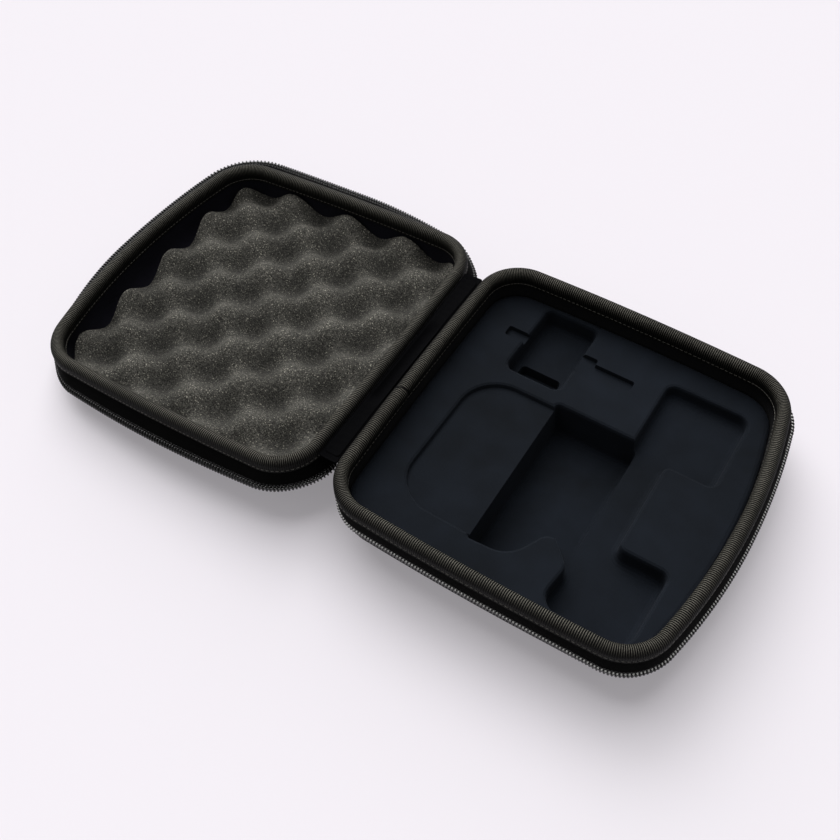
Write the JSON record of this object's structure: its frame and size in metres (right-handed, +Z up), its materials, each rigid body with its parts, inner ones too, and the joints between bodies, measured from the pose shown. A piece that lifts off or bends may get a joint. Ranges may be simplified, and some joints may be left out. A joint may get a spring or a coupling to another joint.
{
  "type": "fishing reel case",
  "caption": "Hard zip case for a fishing reel, open flat, with a moulded tray for the reel and its spool in the deep half and wave-cut foam in the shallow half",
  "frame": {"origin": "middle of the base half's flat underside", "axes": "+X from the hinge to the base half's opening side, +Y along the hinge, +Z up"},
  "size_m": [0.4444, 0.2286, 0.05],
  "materials": {
    "shell_cloth": "woven nylon cloth bonded to the moulded foam shell",
    "black_lining": "matte knitted lining",
    "navy_lining": "matte knitted lining",
    "flocked_tray": "short velvet flock on a thermoformed sheet",
    "binding": "ribbed grosgrain ribbon",
    "zip_tape": "close woven polyester tape",
    "zip_coil": "black nylon coil",
    "foam": "open-cell polyurethane foam",
    "spine_webbing": "woven webbing",
    "zip_metal": "black enamelled zinc",
    "grip_rubber": "moulded soft plastic"
  },
  "bodies": {
    "base": {"base_shell": "shell_cloth", "base_lining": "black_lining", "reel_tray": "flocked_tray", "base_binding": "binding", "base_zip_tape": "zip_tape", "base_zip_coil": "zip_coil"},
    "spine": {"spine_strip": "spine_webbing", "spine_lining": "navy_lining", "front_zip_end": "zip_tape", "rear_zip_end": "zip_tape", "front_zip_stop": "zip_metal", "rear_zip_stop": "zip_metal"},
    "lid": {"lid_shell": "shell_cloth", "lid_lining": "navy_lining", "lid_foam": "foam", "lid_binding": "binding", "lid_zip_tape": "zip_tape", "lid_zip_coil": "zip_coil"},
    "front_slider": {"front_slider": "zip_metal"},
    "rear_slider": {"rear_slider": "zip_metal"},
    "front_pull": {"front_pull_tab": "zip_metal", "front_pull_grip": "grip_rubber"},
    "rear_pull": {"rear_pull_tab": "zip_metal", "rear_pull_grip": "grip_rubber"}
  },
  "joints": [
    {"name": "base_fold", "type": "hinge", "parent": "base", "child": "spine", "pos_m": [-0.1061, 0, 0.0458], "axis": [0, 1, 0], "range_deg": [0, 92.14]},
    {"name": "lid_fold", "type": "hinge", "parent": "spine", "child": "lid", "pos_m": [-0.11489, 0, 0.04547], "axis": [0, 1, 0], "range_deg": [0, 92.14]},
    {"name": "front_slide", "type": "slide", "parent": "spine", "child": "front_slider", "axis": [0, -1, 0], "range_m": [0, 0.0065]},
    {"name": "rear_slide", "type": "slide", "parent": "spine", "child": "rear_slider", "axis": [0, 1, 0], "range_m": [0, 0.0065]},
    {"name": "front_pull_swing", "type": "hinge", "parent": "front_slider", "child": "front_pull", "pos_m": [-0.11021, -0.0531, 0.03809], "axis": [0.9993, 0, 0.0374], "range_deg": [-45, 80]},
    {"name": "rear_pull_swing", "type": "hinge", "parent": "rear_slider", "child": "rear_pull", "pos_m": [-0.11021, 0.0531, 0.03809], "axis": [0.9993, 0, 0.0374], "range_deg": [-80, 45]}
  ]
}
